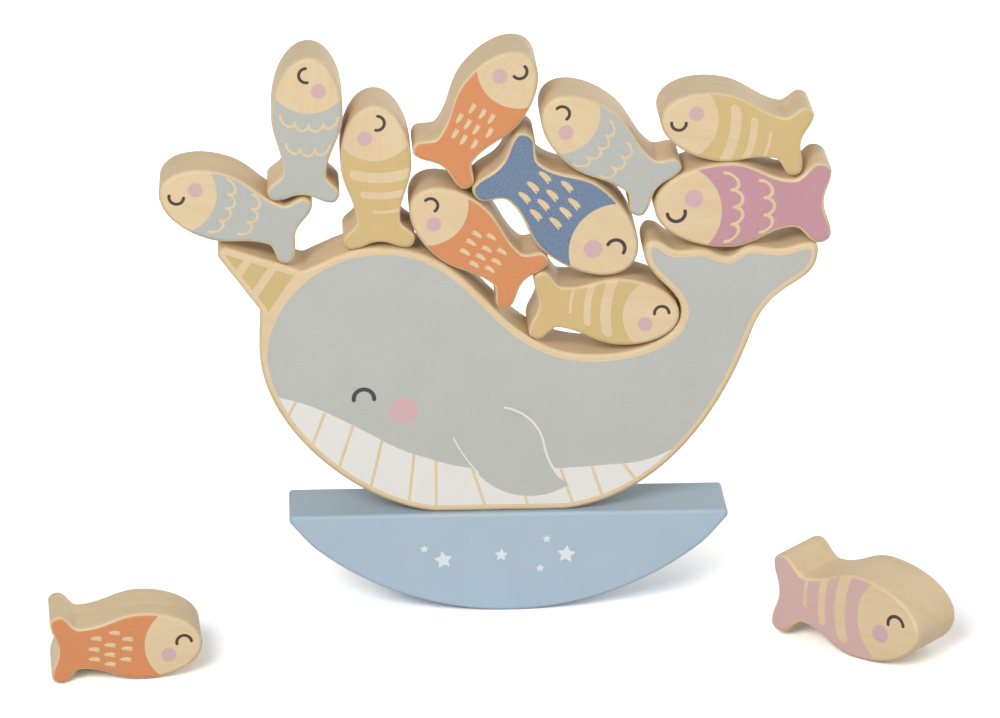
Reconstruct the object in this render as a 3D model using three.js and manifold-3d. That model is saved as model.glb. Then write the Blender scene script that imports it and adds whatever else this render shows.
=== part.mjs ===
// A wooden balance game: a whale on a rocker, and fish to pile on its back, horn and fluke.
// Sizes are millimetres. Every piece is sawn from a board, so it is drawn upright, x across and y up,
// with its thickness along z towards the player. The last group stands that drawing on the table:
// its y becomes +Z, its z becomes -Y, and the origin is the middle of the rocker's foot.

import * as THREE from 'three';
import { mergeVertices } from 'three/addons/utils/BufferGeometryUtils.js';
import Module from 'manifold-3d';

const wasm = await Module();
wasm.setup();

// Board for the whale and the fish, and the clearance between pieces that touch
const boardThickness = 25;
const boardEdgeRound = 1.6;
const seatGap = 0.3;

const rocker = {
  length: 163,
  depth: 29,
  endHeight: 4.5,
  arcRadius: 113.5,
  edgeRound: 1.4,
  topCornerRound: 0.8,
  endCornerRound: 2.6,
};

// The whale stands on the middle of its flat belly. A run leaves each point along its angle, in degrees,
// and its reach says how far the curve keeps to that direction before and after the point.
const whaleFlatLength = 50;
const whaleRuns = {
  bellyLeft: { x: -whaleFlatLength / 2, y: 0, angle: 172, after: 29 },
  flank: { x: -88, y: 65, angle: 90, before: 31 },
  brow: { x: -64, y: 98.5, angle: 25.5, after: 8 },
  crown: { x: -43, y: 103.4, angle: 0, before: 9, after: 38 },
  saddle: { x: 35, y: 60.8, angle: 0, before: 39, after: 16 },
  saddleWall: { x: 66.8, y: 77, angle: 90, before: 10.5, after: 9 },
  leftTip: { x: 52.8, y: 100.5, angle: 90, before: 10.3, after: 2.5 },
  leftLobe: { x: 55.9, y: 105, angle: 0, before: 1.7, after: 8.8 },
  notch: { x: 83.7, y: 99.3, angle: 0, before: 12, after: 8 },
  rightLobe: { x: 113.6, y: 103, angle: 0, before: 8.4, after: 1.7 },
  rightTip: { x: 116.7, y: 100.2, angle: -90, before: 1.5, after: 15 },
  tailStock: { x: 92.7, y: 68.5, angle: -108.6, before: 23, after: 37 },
  bellyRight: { x: whaleFlatLength / 2, y: 0, angle: 187, before: 33 },
};
const horn = {
  lowerRoot: { x: -87.2, y: 79.5 },
  apex: { x: -107.1, y: 107.2 },
  upperRoot: { x: -71.6, y: 95 },
  tipRound: 2.8,
  rootRound: 3,
};

// Each fish is measured from its deepest section, with the nose ahead of it and the tail behind
const fishSizes = {
  small: {
    nose: 21.8,
    tail: 32.8,
    bodyHeight: 25.8,
    stockHeight: 15.9,
    stockToTail: 10.6,
    tailSpan: 26.2,
    lobeLength: 3.6,
    lobeDrop: 2.9,
    notchDepth: 2.5,
  },
  large: {
    nose: 27.7,
    tail: 37,
    bodyHeight: 32.6,
    stockHeight: 18.4,
    stockToTail: 13.8,
    tailSpan: 31,
    lobeLength: 4.7,
    lobeDrop: 3.5,
    notchDepth: 2.7,
  },
};

// Two glued dowels hold the whale on the rocker
const dowel = {
  diameter: 8,
  length: 34,
  chamfer: 1,
  spacing: 28,
};

const paint = {
  powderBlue: '#acbdcb',
  whaleGrey: '#bebfb9',
  sky: '#b7c0c1',
  olive: '#d0b87f',
  orange: '#d79368',
  slate: '#6d85ab',
  mauve: '#c391a0',
  pink: '#d4afae',
  beech: '#e3cba5',
};

const printRoughness = 0.6;
const satinRoughness = 0.5;
const bareRoughness = 0.7;

// The pile in the order that it is built. Each fish, a small one unless it says otherwise, is put in from the
// front at x and y with its heading in degrees, backs off where there is no room for it, straight up or
// along its way out, and is let down until it meets what lies below. A turned fish shows its other face.
// The first one goes under the fluke: its nose is close to the saddle's wall, and its tail rests on the
// whale's back and so lifts its belly off the saddle.
const saddleTailLift = 4.2;
const saddleFish = {
  colour: 'olive',
  x: whaleRuns.saddleWall.x - fishSizes.small.nose - seatGap,
  y: whaleRuns.saddle.y + fishSizes.small.bodyHeight / 2 + saddleTailLift,
  heading: -5.5,
  wayOut: 135,
};
const pileOrder = {
  fish_olive_low: saddleFish,
  fish_orange_low: { colour: 'orange', x: -14.2, y: 109.6, heading: 139.6, turned: true },
  fish_olive_upright: { colour: 'olive', x: -44.7, y: 136.6, heading: 91.7, turned: true },
  fish_sky_on_horn: { colour: 'sky', x: -102.4, y: 120.6, heading: 160.7 },
  fish_sky_upright: { colour: 'sky', x: -69.4, y: 156, heading: 86.8 },
  fish_slate: { colour: 'slate', size: 'large', x: 27, y: 113.8, heading: -39 },
  fish_mauve: { colour: 'mauve', size: 'large', x: 84.1, y: 118, heading: 180.7 },
  fish_orange_top: { colour: 'orange', x: -2.6, y: 158.6, heading: 53.1, turned: true },
  fish_sky_slanted: { colour: 'sky', x: 33.8, y: 143.8, heading: 141.2, turned: true },
  fish_olive_top: { colour: 'olive', x: 79.9, y: 147.6, heading: 168.7 },
};

// Two more fish stand on the table in front of the rocker, by the middle of their bodies
const spareFish = {
  fish_orange_spare: { colour: 'orange', x: -136, z: 61, yaw: 4 },
  fish_pink_spare: { colour: 'pink', size: 'large', x: 131.5, z: 56, yaw: -41 },
};

// Fineness of the faceted solids
const edgeSteps = 2;
const rockerArcSteps = 45;
const cornerTurn = 15;
const whaleFacetTurn = 9;
const fishFacetTurn = 17;
const dowelSides = 24;

// How fully a quarter of an oval swells, and how far an S-shaped run keeps its direction
const ovalReach = 0.55;
const swayReach = 0.4;

const { degToRad, radToDeg } = THREE.MathUtils;
const pointAt = ({ x, y }) => new THREE.Vector2(x, y);
const towards = (angle) => new THREE.Vector2(Math.cos(degToRad(angle)), Math.sin(degToRad(angle)));

// Points along smooth curves through the given run points, with more of them where the curve turns more
function smoothRun(runs, facetTurn) {
  const points = [pointAt(runs[0])];
  for (let i = 1; i < runs.length; i += 1) {
    const start = pointAt(runs[i - 1]);
    const end = pointAt(runs[i]);
    const leaving = towards(runs[i - 1].angle).multiplyScalar(runs[i - 1].after);
    const arriving = towards(runs[i].angle).multiplyScalar(runs[i].before);
    const startHandle = start.clone().add(leaving);
    const endHandle = end.clone().sub(arriving);
    const middle = endHandle.clone().sub(startHandle);
    const turn = radToDeg(leaving.angleTo(middle) + middle.angleTo(arriving));
    const steps = Math.max(2, Math.ceil(turn / facetTurn));
    const curve = new THREE.CubicBezierCurve(start, startHandle, endHandle, end);
    points.push(...curve.getPoints(steps).slice(1));
  }
  return points;
}

// An arc in place of the corner between two straight sides, as round as the sides allow
function roundedCorner(before, corner, after, radius) {
  const back = before.clone().sub(corner);
  const ahead = after.clone().sub(corner);
  const halfAngle = back.angleTo(ahead) / 2;
  const reach = Math.min(radius / Math.tan(halfAngle), back.length() / 2, ahead.length() / 2);
  const fitted = reach * Math.tan(halfAngle);
  const bisector = back.clone().normalize().add(ahead.clone().normalize()).normalize();
  const centre = corner.clone().addScaledVector(bisector, fitted / Math.sin(halfAngle));
  const start = corner.clone().addScaledVector(back.clone().normalize(), reach);
  const sweep = (Math.PI - 2 * halfAngle) * -Math.sign(back.cross(ahead));
  const steps = Math.max(2, Math.ceil(radToDeg(Math.abs(sweep)) / cornerTurn));
  return Array.from({ length: steps + 1 }, (_, i) => start.clone().rotateAround(centre, (sweep * i) / steps));
}

function roundCorners(points, radii) {
  return points.flatMap((corner, i) => {
    if (radii[i] === 0) return [corner];
    const before = points.at(i - 1);
    const after = points[(i + 1) % points.length];
    return roundedCorner(before, corner, after, radii[i]);
  });
}

// The middle chord of the arc is level and lies on the table, so the rocker has a narrow flat foot, and the
// top is as far above the ends of the arc as the ends are high
const halfSweep = Math.asin(rocker.length / 2 / rocker.arcRadius);
const arcStep = (2 * halfSweep) / rockerArcSteps;
const centreHeight = rocker.arcRadius * Math.cos(arcStep / 2);
const rockerHeight = centreHeight - rocker.arcRadius * Math.cos(halfSweep) + rocker.endHeight;

// A corner round is measured on the face, inside the rounded edge
function rockerOutline() {
  const halfLength = rocker.length / 2;
  const arc = Array.from({ length: rockerArcSteps + 1 }, (_, i) => {
    const angle = i * arcStep - halfSweep;
    return new THREE.Vector2(
      rocker.arcRadius * Math.sin(angle),
      centreHeight - rocker.arcRadius * Math.cos(angle),
    );
  });
  const points = [
    new THREE.Vector2(-halfLength, rockerHeight),
    ...arc,
    new THREE.Vector2(halfLength, rockerHeight),
  ];
  const radii = points.map(() => 0);
  radii[0] = rocker.edgeRound + rocker.topCornerRound;
  radii[1] = rocker.edgeRound + rocker.endCornerRound;
  radii[radii.length - 2] = radii[1];
  radii[radii.length - 1] = radii[0];
  return roundCorners(points, radii);
}

function whaleOutline() {
  const runs = whaleRuns;
  const belly = smoothRun([runs.bellyLeft, runs.flank], whaleFacetTurn);
  const hornSides = [runs.flank, horn.lowerRoot, horn.apex, horn.upperRoot, runs.brow].map(pointAt);
  const hornRounds = [0, horn.rootRound, horn.tipRound, horn.rootRound, 0];
  const back = smoothRun([runs.brow, runs.crown, runs.saddle, runs.saddleWall], whaleFacetTurn);
  const fluke = [runs.saddleWall, runs.leftTip, runs.leftLobe, runs.notch, runs.rightLobe, runs.rightTip];
  const tail = smoothRun([...fluke, runs.tailStock, runs.bellyRight], whaleFacetTurn);
  return [...belly, ...roundCorners(hornSides, hornRounds).slice(1, -1), ...back, ...tail.slice(1)];
}

// Upper half from nose to tail notch, then its mirror image back to the nose
function fishOutline(size) {
  const bodyRise = size.bodyHeight / 2;
  const stockRise = size.stockHeight / 2;
  const lobeRise = size.tailSpan / 2;
  const cornerRise = lobeRise - size.lobeDrop;
  const lobeX = size.lobeLength - size.tail;
  const stockX = size.stockToTail - size.tail;
  const flow = swayReach * -stockX;
  const flare = swayReach * (stockX - lobeX);
  const hollow = swayReach * cornerRise;
  const half = smoothRun([
    { x: size.nose, y: 0, angle: 90, after: ovalReach * bodyRise },
    { x: 0, y: bodyRise, angle: 180, before: ovalReach * size.nose, after: flow },
    { x: stockX, y: stockRise, angle: 180, before: flow, after: flare },
    { x: lobeX, y: lobeRise, angle: 180, before: flare, after: ovalReach * size.lobeLength },
    { x: -size.tail, y: cornerRise, angle: 270, before: ovalReach * size.lobeDrop, after: hollow },
    { x: size.notchDepth - size.tail, y: 0, angle: 270, before: hollow },
  ], fishFacetTurn);
  const mirrored = half.slice(1, -1).reverse().map(({ x, y }) => new THREE.Vector2(x, -y));
  return [...half, ...mirrored];
}

// A board sawn to an outline, with its edges rounded over on both faces
function sawnBoard(outline, thickness, edgeRound) {
  const straight = thickness - 2 * edgeRound;
  const board = new THREE.ExtrudeGeometry(new THREE.Shape(outline), {
    depth: straight,
    bevelThickness: edgeRound,
    bevelSize: edgeRound,
    bevelOffset: -edgeRound,
    bevelSegments: edgeSteps,
  });
  return board.translate(0, 0, -straight / 2);
}

function toSolid(geometry) {
  const bare = geometry.clone();
  bare.deleteAttribute('normal');
  bare.deleteAttribute('uv');
  const merged = mergeVertices(bare);
  const mesh = new wasm.Mesh({
    numProp: 3,
    vertProperties: new Float32Array(merged.attributes.position.array),
    triVerts: new Uint32Array(merged.index.array),
  });
  return new wasm.Manifold(mesh);
}

// Upright round holes for both dowels, around x, between two heights
function drilled(board, x, bottom, top) {
  const radius = dowel.diameter / 2 + seatGap;
  let solid = toSolid(board);
  for (const side of [-1, 1]) {
    const bit = new THREE.CylinderGeometry(radius, radius, top - bottom, dowelSides);
    bit.translate(x + (side * dowel.spacing) / 2, (bottom + top) / 2, 0);
    solid = solid.subtract(toSolid(bit));
  }
  const { vertProperties, triVerts } = solid.getMesh();
  const geometry = new THREE.BufferGeometry();
  geometry.setAttribute('position', new THREE.BufferAttribute(vertProperties, 3));
  geometry.setIndex(new THREE.BufferAttribute(triVerts, 1));
  const faceted = geometry.toNonIndexed();
  faceted.computeVertexNormals();
  return faceted;
}

function dowelPin() {
  const radius = dowel.diameter / 2;
  const half = dowel.length / 2;
  const shoulder = half - dowel.chamfer;
  const profile = [
    new THREE.Vector2(0, -half),
    new THREE.Vector2(radius - dowel.chamfer, -half),
    new THREE.Vector2(radius, -shoulder),
    new THREE.Vector2(radius, shoulder),
    new THREE.Vector2(radius - dowel.chamfer, half),
    new THREE.Vector2(0, half),
  ];
  return new THREE.LatheGeometry(profile, dowelSides);
}

// Area of a closed outline and the x of its centre
function areaCentre(outline) {
  let doubleArea = 0;
  let moment = 0;
  outline.forEach((a, i) => {
    const b = outline[(i + 1) % outline.length];
    const cross = a.cross(b);
    doubleArea += cross;
    moment += ((a.x + b.x) * cross) / 3;
  });
  return { area: Math.abs(doubleArea) / 2, x: moment / doubleArea };
}

function distanceToEdge(point, a, b) {
  const edge = b.clone().sub(a);
  const along = THREE.MathUtils.clamp(point.clone().sub(a).dot(edge) / edge.lengthSq(), 0, 1);
  return point.distanceTo(a.clone().addScaledVector(edge, along));
}

const turnOf = (a, b, c) => b.clone().sub(a).cross(c.clone().sub(a));
const edgesCross = (a, b, c, d) => {
  return turnOf(a, b, c) * turnOf(a, b, d) < 0 && turnOf(c, d, a) * turnOf(c, d, b) < 0;
};

// Least distance between two outlines, or nothing where they cross
function clearance(first, second) {
  let least = Infinity;
  for (const [corners, edges] of [[first, second], [second, first]]) {
    corners.forEach((corner, i) => {
      const next = corners[(i + 1) % corners.length];
      edges.forEach((a, j) => {
        const b = edges[(j + 1) % edges.length];
        least = Math.min(least, edgesCross(corner, next, a, b) ? 0 : distanceToEdge(corner, a, b));
      });
    });
  }
  return least;
}

const placed = (outline, x, y, heading) => {
  const centre = new THREE.Vector2();
  const offset = new THREE.Vector2(x, y);
  return outline.map((point) => point.clone().rotateAround(centre, degToRad(heading)).add(offset));
};

// Backs a fish off until it is clear, then lets it down by the room left around it, until only the seat
// gap remains
function settle(outline, fish, pile) {
  const closeEnough = 0.002;
  const mostMoves = 400;
  const backStep = 0.5;
  const roomAt = ({ x, y }) => {
    const here = placed(outline, x, y, fish.heading);
    return Math.min(...pile.map((other) => clearance(here, other))) - seatGap;
  };
  const spot = pointAt(fish);
  const back = towards(fish.wayOut ?? 90).multiplyScalar(backStep);
  while (roomAt(spot) < 0) spot.add(back);
  for (let move = 0; move < mostMoves; move += 1) {
    const room = roomAt(spot);
    spot.y -= room;
    if (room < closeEnough) break;
  }
  return spot;
}

function finish(name, geometry, colour, roughness) {
  const material = new THREE.MeshStandardMaterial({ color: colour, roughness, metalness: 0 });
  const mesh = new THREE.Mesh(geometry, material);
  mesh.name = name;
  return mesh;
}

const fishOutlines = {
  small: fishOutline(fishSizes.small),
  large: fishOutline(fishSizes.large),
};

function fishMesh(name, { colour, size = 'small' }) {
  const board = sawnBoard(fishOutlines[size], boardThickness, boardEdgeRound);
  return finish(name, board, paint[colour], printRoughness);
}

// Everything that the rocker carries, drawn from the middle of the whale's flat belly
const load = new THREE.Group();
const whaleEdge = whaleOutline();
const pile = [whaleEdge];
const balance = { area: 0, moment: 0 };
const addToBalance = (outline) => {
  const { area, x } = areaCentre(outline);
  balance.area += area;
  balance.moment += area * x;
};
addToBalance(whaleEdge);
for (const [name, fish] of Object.entries(pileOrder)) {
  const outline = fishOutlines[fish.size ?? 'small'];
  const spot = settle(outline, fish, pile);
  const seated = placed(outline, spot.x, spot.y, fish.heading);
  pile.push(seated);
  addToBalance(seated);
  const mesh = fishMesh(name, fish);
  mesh.position.set(spot.x, spot.y, 0);
  mesh.rotation.set(fish.turned ? Math.PI : 0, 0, degToRad(fish.heading), 'ZYX');
  load.add(mesh);
}

// The load stands with its centre over the rocker's foot, so that the game rests level
const whaleX = -balance.moment / balance.area;
load.position.set(whaleX, rockerHeight + seatGap, 0);

// Half of each dowel goes into the whale and half into the rocker
const holeDepth = dowel.length / 2 + seatGap;
const whaleBoard = sawnBoard(whaleEdge, boardThickness, boardEdgeRound);
const drilledWhale = drilled(whaleBoard, 0, -holeDepth, holeDepth - seatGap / 2);
load.add(finish('whale', drilledWhale, paint.whaleGrey, printRoughness));
['dowel_left', 'dowel_right'].forEach((name, i) => {
  const pin = finish(name, dowelPin(), paint.beech, bareRoughness);
  pin.position.set((i - 0.5) * dowel.spacing, -seatGap / 2, 0);
  load.add(pin);
});

const drawing = new THREE.Group();
const rockerBoard = sawnBoard(rockerOutline(), rocker.depth, rocker.edgeRound);
const rockerHoles = [rockerHeight - holeDepth + seatGap / 2, rockerHeight + holeDepth];
const drilledRocker = drilled(rockerBoard, whaleX, ...rockerHoles);
drawing.add(finish('rocker_base', drilledRocker, paint.powderBlue, satinRoughness));
drawing.add(load);

// A spare fish stands on its belly and the lower tip of its tail
for (const [name, fish] of Object.entries(spareFish)) {
  const size = fish.size ?? 'small';
  const { bodyHeight, tailSpan, tail, lobeLength } = fishSizes[size];
  const tilt = Math.atan((tailSpan - bodyHeight) / 2 / (tail - lobeLength));
  const outline = placed(fishOutlines[size], 0, 0, radToDeg(tilt));
  const mesh = fishMesh(name, fish);
  mesh.position.set(fish.x, -Math.min(...outline.map((point) => point.y)), fish.z);
  mesh.rotation.set(0, degToRad(fish.yaw), tilt, 'YZX');
  drawing.add(mesh);
}

// Stands the drawing up on the table
const balanceGame = new THREE.Group();
drawing.rotation.x = Math.PI / 2;
balanceGame.add(drawing);

export default balanceGame;
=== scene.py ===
import math
import bpy
from mathutils import Matrix, Vector


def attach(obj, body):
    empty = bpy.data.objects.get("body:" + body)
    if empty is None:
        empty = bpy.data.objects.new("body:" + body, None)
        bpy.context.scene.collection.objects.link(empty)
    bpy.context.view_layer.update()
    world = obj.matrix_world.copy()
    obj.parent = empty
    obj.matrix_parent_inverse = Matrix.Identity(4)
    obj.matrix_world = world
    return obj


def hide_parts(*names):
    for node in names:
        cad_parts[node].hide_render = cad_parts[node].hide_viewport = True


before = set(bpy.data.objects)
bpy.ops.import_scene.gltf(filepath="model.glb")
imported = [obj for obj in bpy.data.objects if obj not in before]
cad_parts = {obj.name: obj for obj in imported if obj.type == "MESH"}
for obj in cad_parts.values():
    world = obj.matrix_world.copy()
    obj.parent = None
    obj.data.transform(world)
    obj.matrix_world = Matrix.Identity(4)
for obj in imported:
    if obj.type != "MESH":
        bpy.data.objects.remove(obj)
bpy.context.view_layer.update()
mm = 0.001
print("frame loaded:", len(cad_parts), "nodes")


def inkOf(code):
    # a hex colour as seen on screen, turned into the linear values that sockets take
    parts = [int(code[i:i + 2], 16) / 255 for i in (1, 3, 5)]
    return tuple(p / 12.92 if p <= 0.04045 else ((p + 0.055) / 1.055) ** 2.4 for p in parts) + (1.0,)


# Shop helpers: selecting, modifiers, drawing outlines, sawing boards

saw = {
    "joinWithin": 0.005,           # mm, where two runs of an outline meet
    "roundFrom": 60,               # degrees, the least turn of an edge that is rounded
    "insetCrowding": 0.4,          # mm, how close a print's outline may crowd in a tight bend
    "boardStep": (311, 173, 57),   # mm, how far apart two boards lie in the grain
}


def pickOnly(piece):
    bpy.ops.object.select_all(action="DESELECT")
    piece.select_set(True)
    bpy.context.view_layer.objects.active = piece


def finishWith(piece, kind, **settings):
    pickOnly(piece)
    bpy.ops.object.modifier_add(type=kind)
    modifier = piece.modifiers[-1]
    for key, value in settings.items():
        setattr(modifier, key, value)
    bpy.ops.object.modifier_apply(modifier=modifier.name)


def bendKnot(x, y, heading, before=0.0, after=0.0):
    along = Vector((math.cos(math.radians(heading)), math.sin(math.radians(heading))))
    place = Vector((x, y))
    return place, place - along * before, place + along * after


def roundedCorner(before, corner, after, radius):
    corner = Vector(corner)
    inward = (corner - Vector(before)).normalized()
    outward = (Vector(after) - corner).normalized()
    turn = inward.angle(outward)
    back = radius * math.tan(turn / 2)
    reach = radius * math.tan(turn / 4) * 4 / 3
    start, end = corner - inward * back, corner + outward * back
    return [(start, start, start + inward * reach), (end, end - outward * reach, end)]


def mirrored(knots, across):
    # the same run of knots on the other side, walked backwards
    return [(place * across, after * across, before * across) for place, before, after in reversed(knots)]


def drawOutline(name, knots, steps):
    # the saw line: a closed Bezier curve in the drawing plane, in mm
    bpy.ops.object.select_all(action="DESELECT")
    bpy.ops.curve.primitive_bezier_circle_add(radius=1)
    outline = bpy.context.object
    outline.name = name
    outline.data.dimensions = "2D"
    outline.data.fill_mode = "NONE"
    outline.data.resolution_u = steps
    points = outline.data.splines[0].bezier_points
    points.add(len(knots) - len(points))
    for i, (place, before, after) in enumerate(knots):
        # a knot without a handle has a straight run there, drawn with even steps
        if before == place:
            before = place.lerp(knots[i - 1][0], 1 / 3)
        if after == place:
            after = place.lerp(knots[(i + 1) % len(knots)][0], 1 / 3)
        points[i].handle_left_type = points[i].handle_right_type = "FREE"
        points[i].co = (*place, 0)
        points[i].handle_left = (*before, 0)
        points[i].handle_right = (*after, 0)
    bpy.ops.object.convert(target="MESH")
    return bpy.context.object


def sawBoard(outline, thickness):
    pickOnly(outline)
    bpy.ops.object.mode_set(mode="EDIT")
    bpy.ops.mesh.select_all(action="SELECT")
    bpy.ops.mesh.remove_doubles(threshold=saw["joinWithin"])
    bpy.ops.mesh.edge_face_add()
    bpy.ops.transform.translate(value=(0, 0, -thickness / 2))
    bpy.ops.mesh.extrude_region_move(TRANSFORM_OT_translate={"value": (0, 0, thickness)})
    bpy.ops.mesh.select_all(action="SELECT")
    bpy.ops.mesh.normals_make_consistent(inside=False)
    bpy.ops.object.mode_set(mode="OBJECT")


def pickFaces(piece, wanted):
    pickOnly(piece)
    bpy.ops.object.mode_set(mode="EDIT")
    bpy.ops.mesh.select_mode(type="FACE")
    bpy.ops.mesh.select_all(action="DESELECT")
    bpy.ops.object.mode_set(mode="OBJECT")
    for face in piece.data.polygons:
        face.select = wanted(face)
    bpy.ops.object.mode_set(mode="EDIT")


def roundEdges(piece, radius, steps):
    finishWith(piece, "BEVEL", width=radius, segments=steps, limit_method="ANGLE",
               angle_limit=math.radians(saw["roundFrom"]), use_clamp_overlap=False)


def markPrint(piece, slope, margin=0.0):
    # both faces take the print, with their rounding up to a slope, or inside a margin
    for _ in range(2):
        bpy.ops.object.material_slot_add()
    pickFaces(piece, lambda face: abs(face.normal.z) > slope)
    if margin:
        bpy.ops.mesh.inset(thickness=margin, depth=0, use_individual=False)
        bpy.ops.mesh.remove_doubles(threshold=saw["insetCrowding"])
    piece.active_material_index = 1
    bpy.ops.object.material_slot_assign()
    bpy.ops.object.mode_set(mode="OBJECT")
    smoothFlats(piece)


def smoothFlats(piece):
    pickOnly(piece)
    bpy.ops.object.shade_smooth()
    finishWith(piece, "WEIGHTED_NORMAL", mode="FACE_AREA", weight=100)


def noteDrawing(piece, board):
    # the drawing's own mm stay on the mesh for the print, and once more shifted for the grain
    marks = piece.data.attributes.new("drawing", "FLOAT_VECTOR", "POINT")
    grain = piece.data.attributes.new("grain", "FLOAT_VECTOR", "POINT")
    shift = Vector(saw["boardStep"]) * board
    for vertex, mark, fibre in zip(piece.data.vertices, marks.data, grain.data):
        mark.vector = vertex.co
        fibre.vector = vertex.co + shift


def setDown(piece, place, *turns):
    # from the drawing plane in mm to its place in metres
    stand = Matrix.Rotation(math.radians(90), 4, "X")
    matrix = Matrix.Translation(Vector(place) * mm) @ stand
    for axis, degrees in turns:
        matrix = matrix @ Matrix.Rotation(math.radians(degrees), 4, axis)
    piece.matrix_world = matrix @ Matrix.Scale(mm, 4)
    pickOnly(piece)
    bpy.ops.object.transform_apply(location=True, rotation=True, scale=True)


def copyOf(piece, name):
    pickOnly(piece)
    bpy.ops.object.duplicate()
    twin = bpy.context.object
    twin.name = name
    twin.data.name = name
    return twin


# Finishes: a small set of node helpers, then wood, paint and the prints

class FinishNodes:
    def __init__(self, owner):
        owner.use_nodes = True
        self.owner = owner
        self.tree = owner.node_tree

    def new(self, kind):
        return self.tree.nodes.new("ShaderNode" + kind)

    def feed(self, socket, value):
        if isinstance(value, bpy.types.NodeSocket):
            self.tree.links.new(value, socket)
        else:
            socket.default_value = value

    def maths(self, operation, *values, clamp=False):
        node = self.new("Math")
        node.operation = operation
        node.use_clamp = clamp
        for socket, value in zip(node.inputs, values):
            self.feed(socket, value)
        return node.outputs[0]

    def vector(self, operation, *values, scalar=False):
        node = self.new("VectorMath")
        node.operation = operation
        for socket, value in zip(node.inputs, values):
            self.feed(socket, value)
        return node.outputs["Value" if scalar else "Vector"]

    def scaled(self, vector, amount):
        node = self.new("VectorMath")
        node.operation = "SCALE"
        self.feed(node.inputs[0], vector)
        self.feed(node.inputs["Scale"], amount)
        return node.outputs["Vector"]

    def attribute(self, name):
        node = self.new("Attribute")
        node.attribute_name = name
        return node.outputs["Vector"]

    def split(self, vector):
        node = self.new("SeparateXYZ")
        self.feed(node.inputs[0], vector)
        return node.outputs

    def joined(self, x, y, z=0.0):
        node = self.new("CombineXYZ")
        for socket, value in zip(node.inputs, (x, y, z)):
            self.feed(socket, value)
        return node.outputs[0]

    def noise(self, vector, detail=2.0, roughness=0.5, distortion=0.0):
        node = self.new("TexNoise")
        self.feed(node.inputs["Vector"], vector)
        node.inputs["Scale"].default_value = 1.0
        node.inputs["Detail"].default_value = detail
        node.inputs["Roughness"].default_value = roughness
        node.inputs["Distortion"].default_value = distortion
        return node.outputs["Fac"]

    def ranged(self, value, low, high, toLow, toHigh, kind="LINEAR"):
        node = self.new("MapRange")
        node.interpolation_type = kind
        for socket, number in zip(node.inputs, (value, low, high, toLow, toHigh)):
            self.feed(socket, number)
        return node.outputs[0]

    def mixed(self, amount, first, second, blend="MIX"):
        node = self.new("Mix")
        node.data_type = "RGBA"
        node.blend_type = blend
        self.feed(node.inputs[0], amount)
        self.feed(node.inputs[6], first)
        self.feed(node.inputs[7], second)
        return node.outputs[2]

    def curve(self, value, points, low, high):
        # a drawn line: height over position, both in mm
        node = self.new("FloatCurve")
        span = high - low
        line = node.mapping.curves[0]
        while len(line.points) < len(points):
            line.points.new(0.5, 0.5)
        for point, (x, y) in zip(line.points, points):
            point.location = ((x - low) / span, y / span)
        node.mapping.update()
        self.feed(node.inputs[1], self.maths("DIVIDE", self.maths("SUBTRACT", value, low), span))
        return self.maths("MULTIPLY", node.outputs[0], span)

    def held(self, value, low, high):
        return self.maths("MAXIMUM", self.maths("MINIMUM", value, high), low)

    def bowed(self, value, rise, bow):
        # a straight row bent into a shallow curve
        return self.maths("SUBTRACT", value, self.maths("MULTIPLY", self.maths("MULTIPLY", rise, rise), bow))

    # distances in mm, negative inside
    def strip(self, value, low, high):
        off = self.maths("ABSOLUTE", self.maths("SUBTRACT", value, (low + high) / 2))
        return self.maths("SUBTRACT", off, (high - low) / 2)

    def disc(self, point, centre, radius):
        return self.maths("SUBTRACT", self.vector("DISTANCE", point, (*centre, 0), scalar=True), radius)

    def oval(self, point, centre, long, short):
        offset = self.vector("DIVIDE", self.vector("SUBTRACT", point, (*centre, 0)), (long, short, 1))
        away = self.vector("LENGTH", offset, scalar=True)
        return self.maths("MULTIPLY", self.maths("SUBTRACT", away, 1.0), short)

    def stroke(self, point, start, end, width):
        run = Vector(end) - Vector(start)
        step = run / run.length_squared
        offset = self.vector("SUBTRACT", point, (*start, 0))
        along = self.vector("DOT_PRODUCT", offset, (*step, 0), scalar=True)
        nearest = self.scaled((*run, 0), self.maths("ADD", along, 0, clamp=True))
        return self.maths("SUBTRACT", self.vector("DISTANCE", offset, nearest, scalar=True), width / 2)

    def bow(self, point, centre, radius, heading, halfSweep, width):
        # a round-ended arc, centred on its heading
        facing, sweep = math.radians(heading), math.radians(halfSweep)
        along = (math.cos(facing), math.sin(facing), 0)
        across = (-math.sin(facing), math.cos(facing), 0)
        offset = self.vector("SUBTRACT", point, (*centre, 0))
        u = self.vector("DOT_PRODUCT", offset, along, scalar=True)
        v = self.maths("ABSOLUTE", self.vector("DOT_PRODUCT", offset, across, scalar=True))
        away = self.vector("LENGTH", offset, scalar=True)
        ring = self.maths("ABSOLUTE", self.maths("SUBTRACT", away, radius))
        tip = (math.cos(sweep) * radius, math.sin(sweep) * radius, 0)
        end = self.vector("DISTANCE", self.joined(u, v), tip, scalar=True)
        beyond = self.maths("GREATER_THAN", self.maths("MULTIPLY", v, math.cos(sweep)),
                            self.maths("MULTIPLY", u, math.sin(sweep)))
        gap = self.maths("MULTIPLY", beyond, self.maths("SUBTRACT", end, ring))
        return self.maths("SUBTRACT", self.maths("ADD", ring, gap), width / 2)

    def star(self, point, centre, reach, waist, turn):
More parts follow.
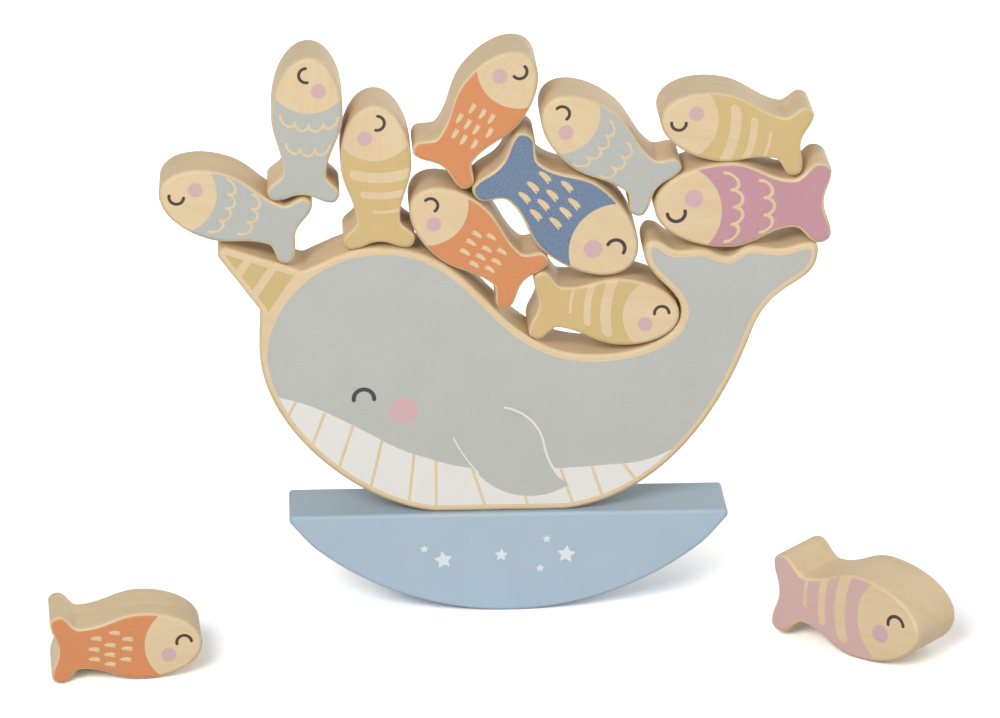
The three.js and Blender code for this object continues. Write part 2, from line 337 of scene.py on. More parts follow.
        # five points: the plane folded into one half tip, then the distance to its slanting edge
        fifth = math.pi / 5
        offset = self.vector("SUBTRACT", point, (*centre, 0))
        x, y, _ = self.split(offset)
        angle = self.maths("SUBTRACT", self.maths("ARCTAN2", y, x), math.radians(turn))
        fold = self.maths("PINGPONG", angle, fifth)
        away = self.vector("LENGTH", offset, scalar=True)
        edge = Vector((waist * math.cos(fifth) - reach, waist * math.sin(fifth))).normalized()
        u = self.maths("MULTIPLY", self.maths("COSINE", fold), away)
        v = self.maths("MULTIPLY", self.maths("SINE", fold), away)
        side = self.maths("MULTIPLY", self.maths("SUBTRACT", u, reach), edge.y)
        return self.maths("SUBTRACT", side, self.maths("MULTIPLY", v, edge.x))

    def union(self, shapes):
        # shapes are made one at a time, so that few values wait in the shader
        total = None
        for shape in shapes:
            total = shape if total is None else self.maths("MINIMUM", total, shape)
        return total

    def both(self, first, second):
        return self.maths("MAXIMUM", first, second)

    def inside(self, distance, softness=0.1):
        return self.ranged(distance, -softness, softness, 1.0, 0.0, "SMOOTHSTEP")


wood = {
    "pale": "#E8D1AA", "deep": "#DEC49A", "fleck": "#CDAC7E",
    "streak": (0.011, 0.17, 0.17),   # waves per mm along and across the grain
    "fibre": (0.07, 1.5, 1.5),
    "flecks": (0.32, 2.1, 2.1),
    # detail, roughness and distortion of the three
    "streakNoise": (4.0, 0.55, 0.35), "fibreNoise": (2.0, 0.6), "fleckNoise": (1.0, 0.5),
    "streakShare": 0.7, "fibreShare": 0.3, "fleckShare": 0.3, "fleckFrom": 0.66, "fleckTo": 0.78,
    "roughness": (0.48, 0.60), "shine": 0.4,
    "bump": 0.5, "lift": 0.04,       # strength, and height in mm
}
paint = {
    "speckle": 1.4, "speckleNoise": (4.0, 0.75), "speckleDepth": 0.075,
    "cloud": 0.05, "cloudNoise": (3.0, 0.5), "cloudDepth": 0.022,
    "roughness": (0.50, 0.60), "fibreShare": 0.5,
}
# blushDots: where the speckle lies, and how much of the blush shows there
ink = {"dark": "#3B2C2A", "blush": "#D2ABB2", "blushDots": (0.35, 0.6, 0.72, 0.98)}
midNoise, wideNoise = (0.3, 0.7), (0.2, 0.8)   # between these lie most values of a noise


def fibreOf(nodes, grain):
    return nodes.noise(nodes.vector("MULTIPLY", grain, wood["fibre"]), *wood["fibreNoise"])


def layWood(nodes, grain):
    # pale beech: slow streaks, fine fibre and short flecks along the board
    streak = nodes.noise(nodes.vector("MULTIPLY", grain, wood["streak"]), *wood["streakNoise"])
    fibre = fibreOf(nodes, grain)
    fleck = nodes.noise(nodes.vector("MULTIPLY", grain, wood["flecks"]), *wood["fleckNoise"])
    tone = nodes.maths("ADD", nodes.ranged(streak, *midNoise, 0.0, wood["streakShare"]),
                       nodes.ranged(fibre, *midNoise, 0.0, wood["fibreShare"]))
    colour = nodes.mixed(tone, inkOf(wood["pale"]), inkOf(wood["deep"]))
    flecked = nodes.ranged(fleck, wood["fleckFrom"], wood["fleckTo"], 0.0, wood["fleckShare"])
    return nodes.mixed(flecked, colour, inkOf(wood["fleck"])), fibre


def layPaint(nodes, grain, colour, depth, amount=1.0):
    # a printed coat: fine speckle and a slow unevenness
    speck = nodes.noise(nodes.scaled(grain, paint["speckle"]), *paint["speckleNoise"])
    cloud = nodes.noise(nodes.scaled(grain, paint["cloud"]), *paint["cloudNoise"])
    uneven = paint["cloudDepth"]
    shade = nodes.maths("ADD", nodes.ranged(speck, *midNoise, 1 - depth, 1 + depth),
                        nodes.ranged(cloud, *midNoise, -uneven, uneven))
    return nodes.mixed(amount, colour, nodes.joined(shade, shade, shade), "MULTIPLY"), speck


def relief(nodes, fibre, speck, fibreShare):
    speckled = nodes.maths("MULTIPLY", speck, 1 - fibreShare)
    return nodes.maths("ADD", nodes.maths("MULTIPLY", fibre, fibreShare), speckled)


def closeFinish(nodes, colour, roughness, height, lift=wood["lift"], shine=wood["shine"]):
    shader = nodes.tree.nodes["Principled BSDF"]
    nodes.feed(shader.inputs["Base Color"], colour)
    nodes.feed(shader.inputs["Roughness"], roughness)
    shader.inputs["Specular IOR Level"].default_value = shine
    bump = nodes.new("Bump")
    bump.inputs["Strength"].default_value = wood["bump"]
    bump.inputs["Distance"].default_value = lift * mm
    nodes.feed(bump.inputs["Height"], height)
    nodes.feed(shader.inputs["Normal"], bump.outputs[0])
    return nodes.owner


def bareWood(name, grainOf):
    nodes = FinishNodes(bpy.data.materials.new(name))
    colour, fibre = layWood(nodes, grainOf(nodes))
    return closeFinish(nodes, colour, nodes.ranged(fibre, *wideNoise, *wood["roughness"]), fibre)


def boardGrain(nodes):
    return nodes.attribute("grain")


def uprightGrain(nodes):
    # a dowel's fibres run along its own length, which stands upright
    x, y, z = nodes.split(nodes.scaled(nodes.new("TexCoord").outputs["Object"], 1 / mm))
    return nodes.joined(z, x, y)


def printedFace(name, painted, eye, blush, softBlush, eyeInk=ink["dark"], blushInk=ink["blush"],
                speckleDepth=paint["speckleDepth"]):
    # wood with a printed coat; painted gives the coat's mask, its colour and how much speckle shows
    nodes = FinishNodes(bpy.data.materials.new(name))
    grain = boardGrain(nodes)
    woodColour, fibre = layWood(nodes, grain)
    x, y, _ = nodes.split(nodes.attribute("drawing"))
    point = nodes.joined(x, y)
    mask, coatColour, amount = painted(nodes, point, x, y)
    coatColour, speck = layPaint(nodes, grain, coatColour, speckleDepth, amount)
    colour = nodes.mixed(mask, woodColour, coatColour)
    cheek = nodes.inside(nodes.disc(point, *blush), softBlush)
    dots = nodes.ranged(speck, *ink["blushDots"])
    colour = nodes.mixed(nodes.maths("MULTIPLY", cheek, dots), colour, inkOf(blushInk))
    lid = nodes.inside(nodes.bow(point, *eye))
    colour = nodes.mixed(lid, colour, inkOf(eyeInk))
    smooth = nodes.ranged(fibre, *wideNoise, *wood["roughness"])
    dull = nodes.ranged(speck, *wideNoise, *paint["roughness"])
    duller = nodes.maths("MULTIPLY", mask, nodes.maths("SUBTRACT", dull, smooth))
    height = nodes.maths("ADD", relief(nodes, fibre, speck, paint["fibreShare"]), mask)
    return closeFinish(nodes, colour, nodes.maths("ADD", smooth, duller), height)


beech = bareWood("bareBeech", boardGrain)
dowelBeech = bareWood("dowelBeech", uprightGrain)
for node in ("dowel_left", "dowel_right"):
    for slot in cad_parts[node].material_slots:
        slot.material = dowelBeech
print("bare beech ready")


# Rocker: a board with a flat top and one long arc below

rocker = {
    "length": 163, "depth": 29, "arcRadius": 113.5, "endHeight": 4.5,
    "edgeRound": 1.4, "roundSteps": 4, "crowding": 0.02, "steps": 24,
    "topCornerRound": 1.5, "endCornerRound": 2.4, "endLift": 1.8, "arcInset": 0.12, "endEase": 4.6,
    "coat": "#B0C3D2", "starInk": "#E8ECEE",
    "roughness": (0.50, 0.60), "shine": 0.3, "speckleDepth": 0.025, "fibreShare": 0.6, "lift": 0.015,
    # centre x and y, reach of a tip, turn in degrees
    "stars": [(-31.6, 25.3, 1.7, 90), (-24.5, 20.8, 3.6, 98), (-2.9, 22.4, 2.6, 86),
              (14.0, 28.5, 1.7, 90), (11.6, 16.9, 1.7, 95), (21.3, 22.3, 3.6, 84)],
    "starWaist": 0.52, "starSoft": 0.12, "starCover": 0.96,
    "frontSkin": 0.05,   # mm, the stars lie only on what is this close to the front face
}


def rockerKnots():
    radius, half = rocker["arcRadius"], rocker["length"] / 2
    sweep = math.asin(half / radius)
    endFoot = radius - radius * math.cos(sweep)
    top = endFoot + rocker["endHeight"]
    step = (sweep - rocker["arcInset"]) / 2
    reach, ease = radius * math.tan(step / 4) * 4 / 3, rocker["endEase"]
    arc = []
    for i in range(-2, 3):
        angle = step * i
        arc.append(bendKnot(radius * math.sin(angle), radius - radius * math.cos(angle), math.degrees(angle),
                            reach if i > -2 else ease, reach if i < 2 else ease))
    # the end's lower corner is sanded round, then runs on into the arc
    foot = Vector((-half, endFoot + rocker["endLift"]))
    left = roundedCorner((half, top), (-half, top), foot, rocker["topCornerRound"])
    left += roundedCorner((-half, top), foot, arc[0][0], rocker["endCornerRound"])
    place, before, _ = left[-1]
    left[-1] = (place, before, place + (arc[0][0] - foot).normalized() * ease)
    return left + arc + mirrored(left, Vector((-1, 1)))


def powderBlue():
    nodes = FinishNodes(bpy.data.materials.new("powderBlueLacquer"))
    grain = boardGrain(nodes)
    x, y, z = nodes.split(nodes.attribute("drawing"))
    point = nodes.joined(x, y)
    colour, speck = layPaint(nodes, grain, inkOf(rocker["coat"]), rocker["speckleDepth"])
    stars = nodes.union(nodes.star(point, (sx, sy), reach, reach * rocker["starWaist"], turn)
                        for sx, sy, reach, turn in rocker["stars"])
    front = nodes.maths("GREATER_THAN", z, rocker["depth"] / 2 - rocker["frontSkin"])
    mask = nodes.maths("MULTIPLY", nodes.inside(stars, rocker["starSoft"]), front)
    colour = nodes.mixed(nodes.maths("MULTIPLY", mask, rocker["starCover"]), colour, inkOf(rocker["starInk"]))
    roughness = nodes.ranged(speck, *wideNoise, *rocker["roughness"])
    height = relief(nodes, fibreOf(nodes, grain), speck, rocker["fibreShare"])
    return closeFinish(nodes, colour, roughness, height, rocker["lift"], rocker["shine"])


rockerPiece = drawOutline("rockerBoard", rockerKnots(), rocker["steps"])
sawBoard(rockerPiece, rocker["depth"])
roundEdges(rockerPiece, rocker["edgeRound"], rocker["roundSteps"])
pickFaces(rockerPiece, lambda face: True)
bpy.ops.mesh.remove_doubles(threshold=rocker["crowding"])  # the rounding crowds at the four corners
bpy.ops.object.mode_set(mode="OBJECT")
bpy.ops.object.material_slot_add()
smoothFlats(rockerPiece)
noteDrawing(rockerPiece, 1)
rockerPiece.material_slots[0].material = powderBlue()
setDown(rockerPiece, (0, 0, 0))
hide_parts("rocker_base")
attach(rockerPiece, "rocker")
print("rocker made:", len(rockerPiece.data.polygons), "faces")


# Whale: one board, its outline run from the belly round head, horn, saddle and fluke

whale = {
    "thickness": 25, "edgeRound": 1.6, "roundSteps": 4, "printSlope": 0.9999, "printMargin": 1.0, "steps": 24,
    "place": (-3.46, 0, 39.29),
    # x, y, heading, handle before, handle after
    "head": [(-25, 0, 172, 0, 29), (-88, 65, 90, 31, 0)],
    # horn corners: x, y, rounding
    "horn": [(-87.2, 79.5, 3.0), (-107.1, 107.2, 2.8), (-71.6, 95.0, 3.0)],
    "back": [(-64, 98.5, 25.5, 0, 8), (-43, 103.4, 0, 9, 38), (35, 60.8, 0, 39, 16),
             (66.8, 77, 90, 10.5, 9)],
    "fluke": [(52.8, 100.5, 90, 10.3, 2.5), (55.9, 105, 0, 1.7, 4.5), (65.5, 100.7, 0, 4.5, 2.5),
              (73.3, 101.1, 0, 2.5, 3.6), (83.3, 98.1, 0, 3.4, 3.2), (91.8, 102.0, 0, 3.2, 4),
              (102.5, 100.9, 0, 4, 4), (113.6, 103, 0, 4.5, 1.7), (116.7, 100.2, -90, 1.5, 15)],
    "tail": [(92.7, 68.5, -108.6, 23, 37), (25, 0, 187, 33, 0)],
    "grey": "#BEBFB9", "white": "#EAE6E1", "hornInk": "#D0B97F",
    "eyeInk": "#393937", "cheekInk": "#D9AEB1", "cheekSoft": 1.0,
    "whiteSpeckle": 0.4,   # share of the coat's speckle that shows on the white
    "bellySpan": (-90, 70),
    "bellyEdge": [(-90, 48.6), (-83.3, 46.9), (-69.8, 42.7), (-58.8, 37.4), (-47.8, 31.3), (-36.8, 25.2),
                  (-25.7, 21.1), (-14.7, 17.9), (-5, 16.8), (20.5, 16.6), (37.6, 17.5), (53.6, 19.2),
                  (63.9, 23.4), (70, 27)],
    "pleats": [((-74.9, 44.4), (-78.6, 37.4)), ((-64.5, 39.5), (-69.9, 25.0)), ((-54.0, 34.6), (-59.8, 16.9)),
               ((-43.4, 28.5), (-47.9, 9.2)), ((-31.6, 23.1), (-33.5, 4.3)), ((-23.5, 20.2), (-23.5, 1.5)),
               ((-10.2, 17.2), (-5.1, 1.5)), ((9.6, 5.6), (10.6, 1.5)), ((22.6, 16.6), (27.6, 1.5)),
               ((34.1, 17.6), (38.6, 4.0)), ((46.1, 17.8), (51.4, 10.3))],
    "pleatWidth": 1.1,
    # flipper: a disc hollowed by a second one, with a small round tip
    "flipper": {"centre": (11.5, 31.0), "radius": 25.3, "hollow": (44.8, 31.1), "hollowRadius": 28.8,
                "tip": (23.6, 10.4), "tipRadius": 1.4},
    # its thin outline: centre, radius, heading, half sweep, width
    "flipperLines": [((-1.12, 23.29), 17.76, 45, 35.2, 0.8), ((44.8, 31.1), 28.8, 204.4, 14.6, 0.9),
                     ((38.69, 55.87), 61.79, 213.4, 7.8, 0.5)],
    # outside this round, left of its middle and above a height, the horn's wood is left bare
    "headRound": ((-43.6, 59.0), 41.8), "hornAbove": 50,
    "hornBands": [(-150, -133.0), (-130.1, -123.85), (-120.9, -114.45)],
    "hornAxis": (0.829, -0.559, 0),
    "eye": ((-49.9, 45.1), 3.75, 92, 94, 1.6),
    "cheek": ((-35.2, 40.2), 5.2),
}


def whaleKnots():
    head = [bendKnot(*row) for row in whale["head"]]
    corners = whale["horn"]
    ends = [whale["head"][-1][:2]] + [row[:2] for row in corners] + [whale["back"][0][:2]]
    horn = []
    for i, (x, y, radius) in enumerate(corners):
        horn += roundedCorner(ends[i], (x, y), ends[i + 2], radius)
    rest = [bendKnot(*row) for row in whale["back"] + whale["fluke"] + whale["tail"]]
    return head + horn + rest


def whalePaint(nodes, point, x, y):
    # belly below its line, the flipper over it, pleats left bare, horn banded
    belly = nodes.maths("SUBTRACT", y, nodes.curve(x, whale["bellyEdge"], *whale["bellySpan"]))
    fin = whale["flipper"]
    hollow = nodes.maths("MULTIPLY", nodes.disc(point, fin["hollow"], fin["hollowRadius"]), -1.0)
    flipper = nodes.both(nodes.disc(point, fin["centre"], fin["radius"]), hollow)
    flipper = nodes.maths("MINIMUM", flipper, nodes.disc(point, fin["tip"], fin["tipRadius"]))
    belly = nodes.both(belly, nodes.maths("MULTIPLY", flipper, -1.0))
    lines = nodes.union(nodes.bow(point, *line) for line in whale["flipperLines"])
    white = nodes.inside(nodes.maths("MINIMUM", belly, lines))
    colour = nodes.mixed(white, inkOf(whale["grey"]), inkOf(whale["white"]))
    pleats = nodes.union(nodes.stroke(point, *ends, whale["pleatWidth"]) for ends in whale["pleats"])
    pleats = nodes.both(pleats, belly)
    (headX, headY), radius = whale["headRound"]
    offHead = nodes.maths("SUBTRACT", radius, nodes.vector("DISTANCE", point, (headX, headY, 0), scalar=True))
    aside = nodes.both(nodes.maths("SUBTRACT", x, headX), nodes.maths("SUBTRACT", whale["hornAbove"], y))
    offHead = nodes.both(offHead, aside)
    bare = nodes.inside(nodes.maths("MINIMUM", pleats, offHead))
    along = nodes.vector("DOT_PRODUCT", point, whale["hornAxis"], scalar=True)
    bands = nodes.union(nodes.strip(along, *band) for band in whale["hornBands"])
    banded = nodes.maths("MULTIPLY", nodes.inside(bands), nodes.inside(offHead))
    colour = nodes.mixed(banded, colour, inkOf(whale["hornInk"]))
    speckled = nodes.ranged(white, 0.0, 1.0, 1.0, whale["whiteSpeckle"])
    return nodes.maths("MAXIMUM", nodes.maths("SUBTRACT", 1.0, bare), banded), colour, speckled


whalePiece = drawOutline("whaleBoard", whaleKnots(), whale["steps"])
sawBoard(whalePiece, whale["thickness"])
roundEdges(whalePiece, whale["edgeRound"], whale["roundSteps"])
markPrint(whalePiece, whale["printSlope"], whale["printMargin"])
noteDrawing(whalePiece, 2)
whalePiece.material_slots[0].material = beech
whalePiece.material_slots[1].material = printedFace(
    "whalePrint", whalePaint, whale["eye"], whale["cheek"], whale["cheekSoft"],
    whale["eyeInk"], whale["cheekInk"])
setDown(whalePiece, whale["place"])
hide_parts("whale")
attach(whalePiece, "rocker")
print("whale made:", len(whalePiece.data.polygons), "faces")


# Fish: one small and one large board, each sawn once and copied

fish = {
    "thickness": 25, "edgeRound": 1.6, "steps": 14,
    "ovalReach": 0.55, "swayReach": 0.4, "cheekSoft": 0.45,
    "firstBoard": 3,   # the rocker and the whale are boards 1 and 2
    "small": {
        "printSlope": 0.85, "roundSteps": 6,
        "nose": 21.8, "tail": 32.8, "bodyHeight": 25.8, "stockHeight": 15.9, "stockToTail": 10.6,
        "tailSpan": 26.2, "lobeLength": 3.6, "lobeDrop": 2.9, "notchDepth": 2.5,
        "bareHead": ((16.1, 0), 15.2),
        "eye": ((15.1, 0.95), 2.65, 99.5, 92, 1.15), "cheek": ((9.5, -3.7), 2.7),
        "scallops": {"pitch": 5.2, "midline": -0.85, "bow": 0.027, "width": 0.95,
                     "rows": [(4, -3.2), (3, -12.4)]},
        "dashes": [(-9.7, 5.9), (-16.3, 4.1), (-5.1, 3.3), (-11.5, 1.3), (-17.3, -0.1), (-5.4, -0.4),
                   (-11.7, -2.4), (-17.3, -3.9), (-6.0, -4.6), (-11.7, -6.1)],
        "dashScale": 1.0, "stripeScale": 1.0,
    },
    "large": {
        "printSlope": 0.9, "roundSteps": 4,
        "nose": 27.7, "tail": 37, "bodyHeight": 32.6, "stockHeight": 18.4, "stockToTail": 13.8,
        "tailSpan": 31, "lobeLength": 4.7, "lobeDrop": 3.5, "notchDepth": 2.7,
        "bareHead": ((20.6, 1.0), 18.4),
        "eye": ((18.85, 1.3), 3.25, 99, 92, 1.35), "cheek": ((12.4, -4.0), 3.4),
        "scallops": {"pitch": 6.55, "midline": 0.55, "bow": 0.02, "width": 1.2,
                     "rows": [(4, -1.4), (3, -12.8)]},
        "dashes": [(-10.3, 8.7), (-18.8, 6.5), (-4.1, 5.2), (-12.4, 2.8), (-19.8, 0.9), (-4.3, 0.6),
                   (-12.6, -2.0), (-19.7, -4.1), (-4.7, -4.7), (-12.4, -6.7)],
        "dashScale": 1.35, "stripeScale": 1.19,
    },
    # bowed stripes, open on the back: centre, width, lower end, upper end
    "stripes": [(-5.6, 3.9, -9.7, 40), (-12.4, 2.6, -6.1, 40), (-18.6, 1.15, -1.9, 8.4)],
    "stripeBow": 0.0155, "stripeMidline": 1.8,
    # one brush dash: an oval with a thin prong along its lower front
    "dash": {"centre": (-0.05, 0.12), "halves": (2.05, 0.76), "prong": ((0.1, -0.5), (1.75, -0.84), 0.45)},
    "dashStretch": (0.6, 1.0, 1.0),   # a dash is longer than wide, which counts in how near it is
}


def fishKnots(size):
    bodyRise, stockRise, lobeRise = size["bodyHeight"] / 2, size["stockHeight"] / 2, size["tailSpan"] / 2
    cornerRise = lobeRise - size["lobeDrop"]
    lobeX, stockX = size["lobeLength"] - size["tail"], size["stockToTail"] - size["tail"]
    oval, sway = fish["ovalReach"], fish["swayReach"]
    flow, flare, hollow = sway * -stockX, sway * (stockX - lobeX), sway * cornerRise
    upper = [
        bendKnot(size["nose"], 0, 90, oval * bodyRise, oval * bodyRise),
        bendKnot(0, bodyRise, 180, oval * size["nose"], flow),
        bendKnot(stockX, stockRise, 180, flow, flare),
        bendKnot(lobeX, lobeRise, 180, flare, oval * size["lobeLength"]),
        bendKnot(-size["tail"], cornerRise, 270, oval * size["lobeDrop"], hollow),
        bendKnot(size["notchDepth"] - size["tail"], 0, 270, hollow, hollow),
    ]
    return upper + mirrored(upper[1:5], Vector((1, -1)))


def scallopLines(nodes, size, point, x, y):
    # rows of half rings that bulge to the tail, each row bowed towards the head at its ends
    scallop = size["scallops"]
    radius = scallop["pitch"] / 2
    rise = nodes.maths("SUBTRACT", y, scallop["midline"])
    bowed = nodes.bowed(x, rise, scallop["bow"])
    rows = []
    for count, start in scallop["rows"]:
        held = nodes.held(rise, -count * radius, count * radius)
        fold = nodes.maths("PINGPONG", held, radius)
        if count % 2 == 0:
            fold = nodes.maths("SUBTRACT", radius, fold)
        depth = nodes.maths("SUBTRACT", bowed, start)
        ring = nodes.vector("LENGTH", nodes.joined(nodes.maths("MINIMUM", depth, 0.0), fold), scalar=True)
        off = nodes.joined(nodes.maths("SUBTRACT", ring, radius), nodes.maths("MAXIMUM", depth, 0.0),
                           nodes.maths("SUBTRACT", rise, held))
        rows.append(nodes.maths("SUBTRACT", nodes.vector("LENGTH", off, scalar=True), scallop["width"] / 2))
    return nodes.union(rows)


def stripeLines(nodes, size, point, x, y):
    grow = size["stripeScale"]
    rise = nodes.maths("SUBTRACT", y, fish["stripeMidline"])
    bowed = nodes.bowed(x, rise, fish["stripeBow"] / grow)
    shapes = []
    for centre, width, low, high in fish["stripes"]:
        half = width * grow / 2
        held = nodes.held(y, low * grow + half, high * grow - half)
        offset = nodes.joined(nodes.maths("SUBTRACT", bowed, centre * grow), nodes.maths("SUBTRACT", y, held))
        shapes.append(nodes.maths("SUBTRACT", nodes.vector("LENGTH", offset, scalar=True), half))
    return nodes.union(shapes)


def dashLines(nodes, size, point, x, y):
    # every dash is the same brush mark, so only the nearest one is drawn
    grow = size["dashScale"]
    best, away = None, None
    for place in size["dashes"]:
        offset = nodes.vector("SUBTRACT", point, (*place, 0))
        gap = nodes.vector("LENGTH", nodes.vector("MULTIPLY", offset, fish["dashStretch"]), scalar=True)
        if best is None:
            best, away = offset, gap
            continue
        nearer = nodes.maths("LESS_THAN", gap, away)
        best = nodes.vector("ADD", best, nodes.scaled(nodes.vector("SUBTRACT", offset, best), nearer))
        away = nodes.maths("MINIMUM", gap, away)
    dash = fish["dash"]
    mark = nodes.scaled(best, 1 / grow)
    body = nodes.oval(mark, dash["centre"], *dash["halves"])
    return nodes.union([body, nodes.stroke(mark, *dash["prong"])])


patterns = {"scallops": scallopLines, "stripes": stripeLines, "dashes": dashLines}
# colour, pattern, board, how far the face is printed off its usual place, and depth of speckle
coats = {
    "sky": ("#BABCB5", "scallops", "small", (0, 0), 0.075),
    "olive": ("#D4B87F", "stripes", "small", (0, 0), 0.05),
    "orange": ("#D88E5D", "dashes", "small", (0, 0), 0.06),
    "slate": ("#6E819B", "dashes", "large", (0, 0), 0.34),
    "mauve": ("#C6939D", "scallops", "large", (0.9, 0.9), 0.09),
    "pink": ("#D8B3AD", "stripes", "large", (-1.1, 0.6), 0.06),
}


def shifted(mark, shift):
    (x, y), *rest = mark
    return (x + shift[0], y + shift[1]), *rest


def fishPrint(name, colour, pattern, sizeName, shift, speckleDepth):
    size = fish[sizeName]
    head, eye, cheek = (shifted(size[mark], shift) for mark in ("bareHead", "eye", "cheek"))

    def painted(nodes, point, x, y):
        bare = nodes.union([nodes.disc(point, *head), patterns[pattern](nodes, size, point, x, y)])
        return nodes.maths("SUBTRACT", 1.0, nodes.inside(bare)), inkOf(colour), 1.0

    return printedFace(name + "FishPrint", painted, eye, cheek, fish["cheekSoft"], speckleDepth=speckleDepth)


def sawFish(sizeName):
    piece = drawOutline(sizeName + "FishBoard", fishKnots(fish[sizeName]), fish["steps"])
    sawBoard(piece, fish["thickness"])
    roundEdges(piece, fish["edgeRound"], fish[sizeName]["roundSteps"])
    markPrint(piece, fish[sizeName]["printSlope"])
    piece.material_slots[0].material = beech
    return piece


# coat, place, heading, and whether the other face is to the front
pile = {
    "fish_olive_low": ("olive", (40.89, 0, 116.50), -5.5, False),
    "fish_orange_low": ("orange", (-17.66, 0, 148.21), 139.6, True),
    "fish_olive_upright": ("olive", (-48.16, 0, 175.05), 91.7, True),
    "fish_sky_on_horn": ("sky", (-105.86, 0, 159.22), 160.7, False),
    "fish_sky_upright": ("sky", (-72.86, 0, 193.25), 86.8, False),
    "fish_slate": ("slate", (23.54, 0, 152.14), -39, False),
    "fish_mauve": ("mauve", (80.64, 0, 156.99), 180.7, False),
    "fish_orange_top": ("orange", (-6.06, 0, 197.30), 53.1, True),
    "fish_sky_slanted": ("sky", (30.34, 0, 182.61), 141.2, True),
    "fish_olive_top": ("olive", (76.44, 0, 186.56), 168.7, False),
}
# coat, body, place, yaw on the table, tilt onto the belly
onTable = {
    "fish_orange_spare": ("orange", "spare_fish_orange", (-136, -61, 13.3), 4, 0.392),
    "fish_pink_spare": ("pink", "fish_pink_spare", (131.5, -56, 16.3), -41, -1.419),
}

boards = {sizeName: sawFish(sizeName) for sizeName in ("small", "large")}
prints = {name: fishPrint(name, *coat) for name, coat in coats.items()}
print("fish boards and prints ready")


def layFish(node, number, coat, body, place, turns):
    sizeName = coats[coat][2]
    piece = copyOf(boards[sizeName], node.replace("fish_", "") + "_fish")
    noteDrawing(piece, number)
    piece.material_slots[1].material = prints[coat]
    setDown(piece, place, *turns)
    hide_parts(node)
    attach(piece, body)


number = fish["firstBoard"]
for node, (coat, place, heading, turned) in pile.items():
    layFish(node, number, coat, node, place, [("Z", heading)] + [("X", 180)] * turned)
    number += 1
for node, (coat, body, place, yaw, tilt) in onTable.items():
    layFish(node, number, coat, body, place, [("Y", yaw), ("Z", tilt)])
    number += 1
for board in boards.values():
    pickOnly(board)
    bpy.ops.object.delete()
print("fish laid:", len(pile), "in the pile,", len(onTable), "on the table")


# Studio: pale floor, soft lamps, white surround and the camera

studio = {
    "floorSize": 60, "floorDrop": 0.0001, "floorTone": 0.62, "floorSeen": 1.72,
    # away from where things touch it, the floor is seen white: places, then where the glow starts and ends
    "contacts": [(0, 0), (-136, -61), (131.5, -56)], "glowFrom": 55, "glowTo": 115, "floorGlow": 0.45,
    "surround": 0.29,
    "key": {"place": (-0.75, -1.75, 1.35), "size": 1.0, "power": 30.5},
    "fill": {"place": (1.5, -1.6, 0.9), "size": 1.4, "power": 9.5},
    "back": {"place": (1.6, 1.7, 0.6), "size": 1.4, "power": 12},
    "lampAim": (0, 0, 0.1),
    "camera": (-82.8, -1673.7, 698.5), "aim": (-2.70, 0, 94.67), "lens": 173.4, "sensor": 36, "farClip": 200,
}


def seenWhite(nodes):
    # one where the camera, a reflection or glass sees the surface, nought for the light it gives
    rays = nodes.new("LightPath").outputs
    seen = nodes.maths("MAXIMUM", rays["Is Camera Ray"], rays["Is Glossy Ray"])
    return nodes.maths("MAXIMUM", seen, rays["Is Transmission Ray"])


def clearFloor(nodes):
    # nought beside what stands on the floor, rising to the full glow further out
    place = nodes.new("TexCoord").outputs["Object"]
    nearest = nodes.union(nodes.vector("DISTANCE", place, (x * mm, y * mm, 0), scalar=True)
                          for x, y in studio["contacts"])
    return nodes.ranged(nearest, studio["glowFrom"] * mm, studio["glowTo"] * mm, 0.0, studio["floorGlow"],
                        "SMOOTHSTEP")


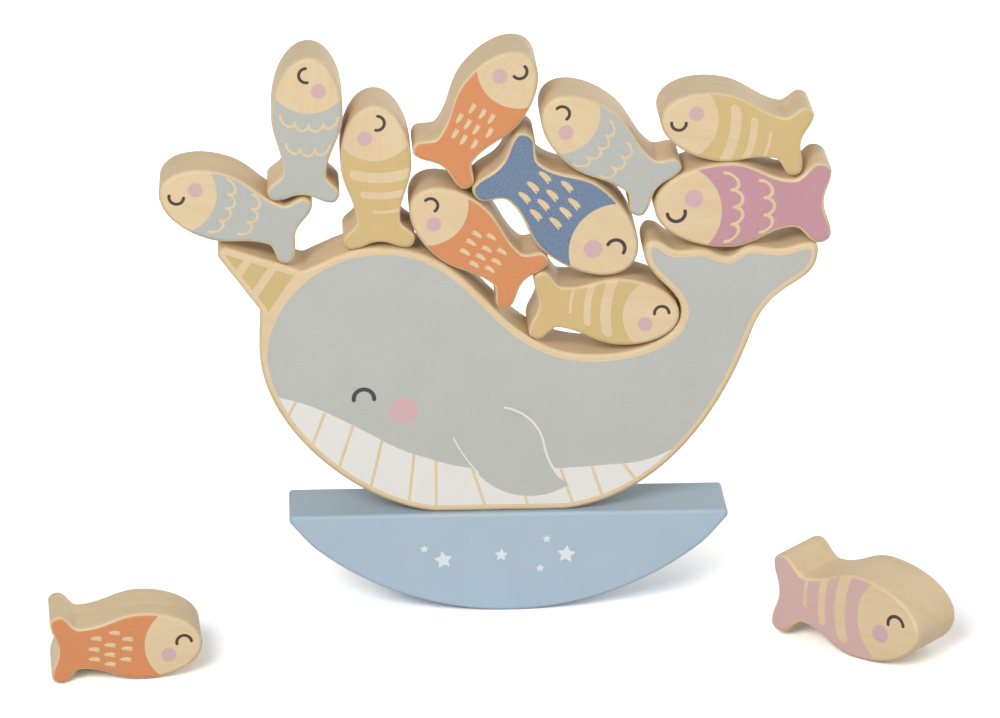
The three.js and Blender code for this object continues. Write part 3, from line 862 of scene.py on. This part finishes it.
def layFloor():
    bpy.ops.object.select_all(action="DESELECT")
    bpy.ops.mesh.primitive_plane_add(size=studio["floorSize"], location=(0, 0, -studio["floorDrop"]))
    floor = bpy.context.object
    floor.name = "floor"
    nodes = FinishNodes(bpy.data.materials.new("paleFloor"))
    nodes.tree.nodes.remove(nodes.tree.nodes["Principled BSDF"])
    seen = seenWhite(nodes)
    matt = nodes.new("MixShader")
    nodes.feed(matt.inputs[0], seen)
    for socket, tone in zip(matt.inputs[1:], (studio["floorTone"], studio["floorSeen"])):
        coat = nodes.new("BsdfDiffuse")
        coat.inputs["Color"].default_value = (tone, tone, tone, 1)
        nodes.feed(socket, coat.outputs[0])
    glow = nodes.new("Emission")
    glow.inputs["Color"].default_value = (1, 1, 1, 1)
    nodes.feed(glow.inputs["Strength"], nodes.maths("MULTIPLY", seen, clearFloor(nodes)))
    both = nodes.new("AddShader")
    nodes.feed(both.inputs[0], matt.outputs[0])
    nodes.feed(both.inputs[1], glow.outputs[0])
    nodes.feed(nodes.tree.nodes["Material Output"].inputs["Surface"], both.outputs[0])
    floor.data.materials.append(nodes.owner)


def hangLamp(name, place, size, power):
    bpy.ops.object.light_add(type="AREA", location=place)
    lamp = bpy.context.object
    lamp.name = name
    lamp.data.shape = "DISK"
    lamp.data.size = size
    lamp.data.energy = power
    aim = Vector(studio["lampAim"]) - Vector(place)
    lamp.rotation_euler = aim.to_track_quat("-Z", "Y").to_euler()


def lightSurround():
    world = bpy.data.worlds.new("studioSurround")
    bpy.context.scene.world = world
    nodes = FinishNodes(world)
    background = nodes.tree.nodes["Background"]
    background.inputs["Color"].default_value = (1, 1, 1, 1)
    level = nodes.ranged(seenWhite(nodes), 0.0, 1.0, studio["surround"], 1.0)
    nodes.feed(background.inputs["Strength"], level)


def setCamera():
    place, aim = Vector(studio["camera"]) * mm, Vector(studio["aim"]) * mm
    bpy.ops.object.camera_add(location=place)
    camera = bpy.context.object
    camera.name = "photoCamera"
    camera.rotation_euler = (aim - place).to_track_quat("-Z", "Y").to_euler()
    camera.data.sensor_fit = "HORIZONTAL"
    camera.data.sensor_width = studio["sensor"]
    camera.data.lens = studio["lens"]
    camera.data.clip_end = studio["farClip"]
    bpy.context.scene.camera = camera


layFloor()
for lamp in ("key", "fill", "back"):
    hangLamp(lamp + "Lamp", **studio[lamp])
lightSurround()
setCamera()
bpy.context.scene.view_settings.view_transform = "Standard"
print("studio ready")
